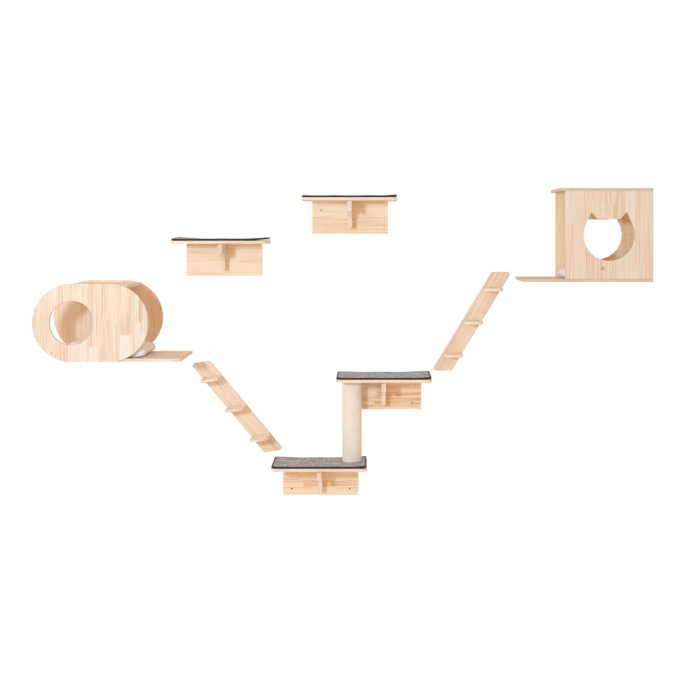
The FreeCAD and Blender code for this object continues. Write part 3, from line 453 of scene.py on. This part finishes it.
tape, tree, out = new_finish("woven polyester tape, dark brown")
place = add(tree, "ShaderNodeTexCoord").outputs["Object"]
weave = add(tree, "ShaderNodeTexNoise", {"Scale": 900, "Detail": 1}, Vector=place)
tones = add(tree, "ShaderNodeMix",
            {"data_type": "RGBA", 6: linear("#261B19"), 7: linear("#46393A")},
            in_0=weave.outputs[0])
relief = add(tree, "ShaderNodeBump", {"Strength": 0.4, "Distance": 0.0003},
             Height=weave.outputs[0])
shader = add(tree, "ShaderNodeBsdfPrincipled",
             {"Roughness": 0.8, "Specular IOR Level": 0.25, "Sheen Weight": 0.15},
             Base_Color=tones.outputs[2], Normal=relief.outputs[0])
tree.links.new(shader.outputs[0], out.inputs["Surface"])

MAT_CORNER = 0.014
TAPE_WIDTH = 0.007
# The power that squares the tape's section.
TAPE_SQUARED = 0.3
# Radius of the hole for the post, and of the speck where a whole mat's rings start.
POST_HOLE = 0.0425
PINHOLE = 0.001
UNDER_TAPE = 0.003
MAT_RINGS = 22
# The mat's top, edge and underside, as shares of the tape's height.
MAT_LEVELS = (0.9, 0.5, 0.02)
# How far the left end, its back over its front, and the same of the right end, lift.
MAT_LIFTS = {"lower": (0.003, 0.002, 0.006, 0.002), "middle": (0.002, 0.001, 0.005, 0.002),
             "left": (0.004, 0.004, 0.006, 0), "top": (0.0015, 0.001, 0.0045, 0.001)}

post_low, post_high = np.array(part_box("post_sisal_rope"))
post_middle = ((post_low + post_high) / 2)[:2]


def make_mat(shelf):
    """One mat and its tape.

    The mat is a slab whose section runs out over the top and back underneath, carried
    round the outline; the tape is a flattened tube along the same outline.
    """
    low, high = np.array(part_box(f"{shelf}_shelf_mat_binding"))
    middle, half = ((high + low) / 2)[:2], ((high - low) / 2)[:2]
    track = outline(low[:2], high[:2], MAT_CORNER)
    holed = shelf == "lower"
    heart = post_middle if holed else middle
    out_from_heart = track - heart
    reach = np.linalg.norm(out_from_heart, axis=1, keepdims=True)
    start = heart + out_from_heart / reach * (POST_HOLE if holed else PINHOLE)
    end = heart + out_from_heart * (1 - UNDER_TAPE / reach)
    share = np.concatenate([np.linspace(0, 1, MAT_RINGS), [1.0], np.linspace(1, 0, MAT_RINGS)])
    thick = high[2] - low[2]
    level = np.repeat(MAT_LEVELS, (MAT_RINGS, 1, MAT_RINGS)) * thick
    points = start[None] + (end - start)[None] * share[:, None, None]
    lift = curl(points[..., 0], points[..., 1], middle, half, MAT_LIFTS[shelf])
    heights = low[2] + level[:, None] + np.maximum(lift, 0)
    rows = at_heights(points, heights)
    mat = new_piece(f"{shelf}_shelf_carpet", rows[::-1], holed, carpet)
    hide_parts(f"{shelf}_shelf_mat")

    turn = circle(12)
    wide = (squared(np.cos(turn), TAPE_SQUARED) - 1) * TAPE_WIDTH / 2
    tall = (squared(np.sin(turn), 2 * TAPE_SQUARED) + 1) * thick / 2
    points = track[:, None] + way_out(track)[:, None] * wide[None, :, None]
    lift = curl(points[..., 0], points[..., 1], middle, half, MAT_LIFTS[shelf])
    heights = low[2] + tall[None] + np.maximum(lift, 0)
    rows = at_heights(points, heights)
    edge = new_piece(f"{shelf}_shelf_tape", rows[::-1], True, tape)
    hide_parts(f"{shelf}_shelf_mat_binding")


for shelf in SHELVES:
    make_mat(shelf)


# ---------------------------------------------------------------- scratching post
# Natural sisal rope, 6 mm, is wound tightly up a cardboard tube that stands through the
# mat of the lower shelf and is bolted to both shelves.

ROPE = 0.006
TURN_RISE = ROPE * 1.005
# The way along the rope that one unit of its strand pattern takes.
STRAND_LAY = ROPE * 1.2
ROPE_STEPS = 44
ROPE_SIDES = 10
# The power that squares the rope's section.
PRESSED = 0.6
WOUND_FULLER = 0.0015
NEARLY_TOUCHING = 0.98

sisal, tree, out = new_finish("twisted sisal rope, cream")
strands = add(tree, "ShaderNodeUVMap", {"uv_map": "lay"}).outputs[0]
place = add(tree, "ShaderNodeTexCoord").outputs["Object"]
# Strands 4.5 mm apart along the rope go round it at about 70 degrees; fine noise is the hairs.
twist = add(tree, "ShaderNodeTexWave",
            {"wave_type": "BANDS", "bands_direction": "DIAGONAL", "Scale": 1.0,
             "Distortion": 1.2, "Detail": 2}, Vector=strands)
hairs = add(tree, "ShaderNodeTexNoise", {"Scale": 400, "Detail": 3}, Vector=place)
patch = add(tree, "ShaderNodeTexNoise", {"Scale": 14, "Detail": 2}, Vector=place)
tones = add(tree, "ShaderNodeMix",
            {"data_type": "RGBA", 6: linear("#FFFEF9"), 7: linear("#FDF8EA")},
            in_0=patch.outputs[0])
shade = add(tree, "ShaderNodeMapRange",
            {"From Min": 0, "From Max": 0.5, "To Min": 0.35, "To Max": 0},
            Value=twist.outputs[0])
tones = add(tree, "ShaderNodeMix", {"data_type": "RGBA", 7: linear("#F5E8CE")},
            in_0=shade.outputs[0], in_6=tones.outputs[2])
rough = add(tree, "ShaderNodeMath", {"operation": "MULTIPLY_ADD", 1: 0.4},
            in_0=hairs.outputs[0], in_2=twist.outputs[0])
relief = add(tree, "ShaderNodeBump", {"Strength": 0.6, "Distance": 0.0008},
             Height=rough.outputs[0])
shader = add(tree, "ShaderNodeBsdfPrincipled",
             {"Roughness": 0.85, "Specular IOR Level": 0.2, "Sheen Weight": 0.1},
             Base_Color=tones.outputs[2], Normal=relief.outputs[0])
tree.links.new(shader.outputs[0], out.inputs["Surface"])

height = post_high[2] - post_low[2]
turns = int((height - ROPE) / TURN_RISE)
winding = (post_high[0] - post_low[0]) / 2 + WOUND_FULLER - ROPE / 2
# The rope's middle climbs one pitch a turn on a circle; its section is a circle pressed
# towards a square by its neighbours, a superellipse.
angle = np.linspace(0, 2 * math.pi * turns, ROPE_STEPS * turns + 1)[:, None]
around = circle(ROPE_SIDES)[None] + math.pi / ROPE_SIDES
outward, upward = squared(np.cos(around), PRESSED), squared(np.sin(around), PRESSED)
pitch = (height - ROPE) / turns
radial = winding + ROPE / 2 * outward
rows = np.stack([post_middle[0] + radial * np.cos(angle),
                 post_middle[1] + radial * np.sin(angle),
                 post_low[2] + ROPE / 2 + pitch * angle / (2 * math.pi)
                 + pitch / 2 * NEARLY_TOUCHING * upward + 0 * radial], -1)
rope = new_piece("post_rope", rows[::-1], False, sisal)
lay = rope.data.uv_layers.new(name="lay")
corners = np.empty(len(rope.data.loops), dtype=np.int32)
rope.data.loops.foreach_get("vertex_index", corners)
ring, side = corners // ROPE_SIDES, corners % ROPE_SIDES
run = ring / ROPE_STEPS * 2 * math.pi * winding / STRAND_LAY
lay.data.foreach_set("uv", np.stack([run, side / ROPE_SIDES], -1).ravel())
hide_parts("post_sisal_rope")

card, tree, out = new_finish("cardboard tube, kraft brown")
place = add(tree, "ShaderNodeTexCoord").outputs["Object"]
fibre = add(tree, "ShaderNodeTexNoise", {"Scale": 300, "Detail": 3}, Vector=place)
tones = add(tree, "ShaderNodeMix",
            {"data_type": "RGBA", 6: linear("#B5936A"), 7: linear("#C9A980")},
            in_0=fibre.outputs[0])
shader = add(tree, "ShaderNodeBsdfPrincipled", {"Roughness": 0.9}, Base_Color=tones.outputs[2])
tree.links.new(shader.outputs[0], out.inputs["Surface"])
wear(card, "post_core_tube")
# A second tube slides over the first, and the rope lies on it.
TUBE_STOPS_SHORT = 0.001
core_low, core_high = np.array(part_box("post_core_tube"))
inner, outer = (core_high[0] - core_low[0]) / 2, winding - ROPE / 2
section = np.array([(outer, TUBE_STOPS_SHORT), (outer, -TUBE_STOPS_SHORT),
                    (inner, -TUBE_STOPS_SHORT), (inner, TUBE_STOPS_SHORT)])
rise = np.array([post_low[2], post_high[2], post_high[2], post_low[2]]) + section[:, 1]
turn = circle(48)[:, None]
rows = np.stack([post_middle[0] + section[:, 0] * np.cos(turn),
                 post_middle[1] + section[:, 0] * np.sin(turn), rise + 0 * turn], -1)
new_piece("post_outer_tube", rows[::-1], True, card)
wear(pine("pine plugs", UPRIGHT), "post_top_plug", "post_bottom_plug")


# ---------------------------------------------------------------- cushions
# A white short pile plush cushion lies in each house, filled with loose fibre, its cover
# sewn with a welted seam a little below half height.

plush, tree, out = new_finish("short pile plush, white")
place = add(tree, "ShaderNodeTexCoord").outputs["Object"]
hairs = add(tree, "ShaderNodeTexNoise", {"Scale": 520, "Detail": 4, "Roughness": 0.75},
            Vector=place)
tufts = add(tree, "ShaderNodeTexNoise", {"Scale": 90, "Detail": 3}, Vector=place)
tones = add(tree, "ShaderNodeMix",
            {"data_type": "RGBA", 6: linear("#F6F9FF"), 7: linear("#FBFDFF")},
            in_0=tufts.outputs[0])
nap = add(tree, "ShaderNodeMath", {"operation": "MULTIPLY_ADD", 1: 2.5},
          in_0=tufts.outputs[0], in_2=hairs.outputs[0])
relief = add(tree, "ShaderNodeBump", {"Strength": 0.55, "Distance": 0.002},
             Height=nap.outputs[0])
shader = add(tree, "ShaderNodeBsdfPrincipled",
             {"Roughness": 0.95, "Specular IOR Level": 0.1, "Sheen Weight": 0.5,
              "Sheen Roughness": 0.5, "Sheen Tint": linear("#FFFFFF")},
             Base_Color=tones.outputs[2], Normal=relief.outputs[0])
tree.links.new(shader.outputs[0], out.inputs["Surface"])

CUSHION_CORNER = 0.04
DRAWN_IN = 0.007
# The seam's height and the crown's rise, as shares of the cushion's.
SEAM_HEIGHT = 0.45
CROWN = 0.1
# The power that squares the cushion's section; 1 gives an ellipse.
CUSHION_SQUARED = 0.3
HALF_RINGS = 20
# The first and last rings aren't points but this share of the outline.
PINPRICK = 0.004
# The welt's radius, and how far out of the outline its middle lies.
WELT = 0.0022
WELT_OUT = 0.001
VOXEL = 0.005
# Points this near the seam's height, and this far out as a share of the way, are sewn.
SEAM_BAND = 0.0026
RIM = 0.8
PRESSURE = 4
STEPS = 20
SWELL_CAP = 0.009


def settle(piece):
    """What the piece's modifiers make of it becomes its own mesh."""
    seen = piece.evaluated_get(bpy.context.evaluated_depsgraph_get())
    kept = bpy.data.meshes.new_from_object(seen)
    piece.modifiers.clear()
    piece.data = kept


def points_of(mesh):
    """The mesh's points, one row each."""
    flat = np.empty(3 * len(mesh.vertices))
    mesh.vertices.foreach_get("co", flat)
    return flat.reshape(-1, 3)


def inflate(cushion, seam, board):
    """Air pressure swells the cover, as cloth, against a seam that doesn't give.

    It is remeshed evenly first.  No point moves further than SWELL_CAP, and none goes
    below the board.
    """
    even = cushion.modifiers.new("even", "REMESH")
    even.mode, even.voxel_size = "VOXEL", VOXEL
    settle(cushion)
    before = points_of(cushion.data)
    middle = (before.min(0) + before.max(0)) / 2
    sewn = cushion.vertex_groups.new(name="sewn")
    near = np.abs(before[:, 2] - seam) < SEAM_BAND
    rim = (np.abs(before - middle) / (before.max(0) - middle))[:, :2].max(1) > RIM
    sewn.add(np.flatnonzero(near & rim).tolist(), 1, "REPLACE")
    cover = cushion.modifiers.new("cover", "CLOTH")
    cover.settings.vertex_group_mass = "sewn"
    cover.settings.use_pressure = True
    cover.settings.uniform_pressure_force = PRESSURE
    cover.settings.effector_weights.gravity = 0
    for step in range(1, STEPS + 1):
        scene.frame_set(step)
    swollen = cushion.evaluated_get(bpy.context.evaluated_depsgraph_get()).data
    move = points_of(swollen) - before
    cushion.modifiers.clear()
    scene.frame_set(1)
    far = np.linalg.norm(move, axis=1, keepdims=True)
    after = before + move * np.minimum(1, SWELL_CAP / np.maximum(far, 1e-9))
    after[:, 2] = np.maximum(after[:, 2], board)
    cushion.data.vertices.foreach_set("co", after.ravel())
    finer = cushion.modifiers.new("finer", "SUBSURF")
    finer.levels = 1
    settle(cushion)
    cushion.data.polygons.foreach_set("use_smooth",
                                      np.ones(len(cushion.data.polygons), dtype=bool))


def make_cushion(house, low, high):
    """A cushion, drawn as a box whose section is a superellipse of nearly the seventh power,
    crowned by a tenth, with its seam and welt a little below the middle."""
    middle = ((low + high) / 2)[:2]
    track = outline(low[:2], high[:2], CUSHION_CORNER, DRAWN_IN)
    seam = low[2] + SEAM_HEIGHT * (high[2] - low[2])
    slope = np.linspace(0, math.pi / 2, HALF_RINGS)
    way, up = np.sin(slope) ** CUSHION_SQUARED, np.cos(slope) ** CUSHION_SQUARED
    reach = np.maximum(np.concatenate([way, way[::-1][1:]]), PINPRICK)
    points = middle + (track - middle)[None] * reach[:, None, None]
    top = seam + (high[2] - seam) * up * (1 - CROWN * way ** 2)
    under = seam - (seam - low[2]) * up[::-1][1:]
    heights = np.repeat(np.concatenate([top, under])[:, None], len(track), 1)
    rows = at_heights(points, heights)
    cushion = new_piece(f"{house}_plush_cushion", rows[::-1], False, plush)
    inflate(cushion, seam, low[2])
    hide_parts(f"{house}_cushion")

    turn = circle(8)
    wide = WELT * np.cos(turn) + WELT_OUT
    points = track[:, None] + way_out(track)[:, None] * wide[None, :, None]
    heights = np.repeat((seam + WELT * np.sin(turn))[None], len(track), 0)
    rows = at_heights(points, heights)
    new_piece(f"{house}_cushion_welt", rows[::-1], True, plush)


# How far each cushion reaches past its solid, and the room it needs to swell into.
REACHES = {"capsule": ((-0.03, 0, 0), (0.014, 0, 0.014)), "cube": ((0, 0, 0), (0, 0, 0.004))}
ROOM_TO_SWELL = ((0.005, 0.005, 0), (-0.005, -0.005, -0.002))
for house, reach in REACHES.items():
    make_cushion(house, *(np.array(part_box(f"{house}_cushion")) + reach + ROOM_TO_SWELL))
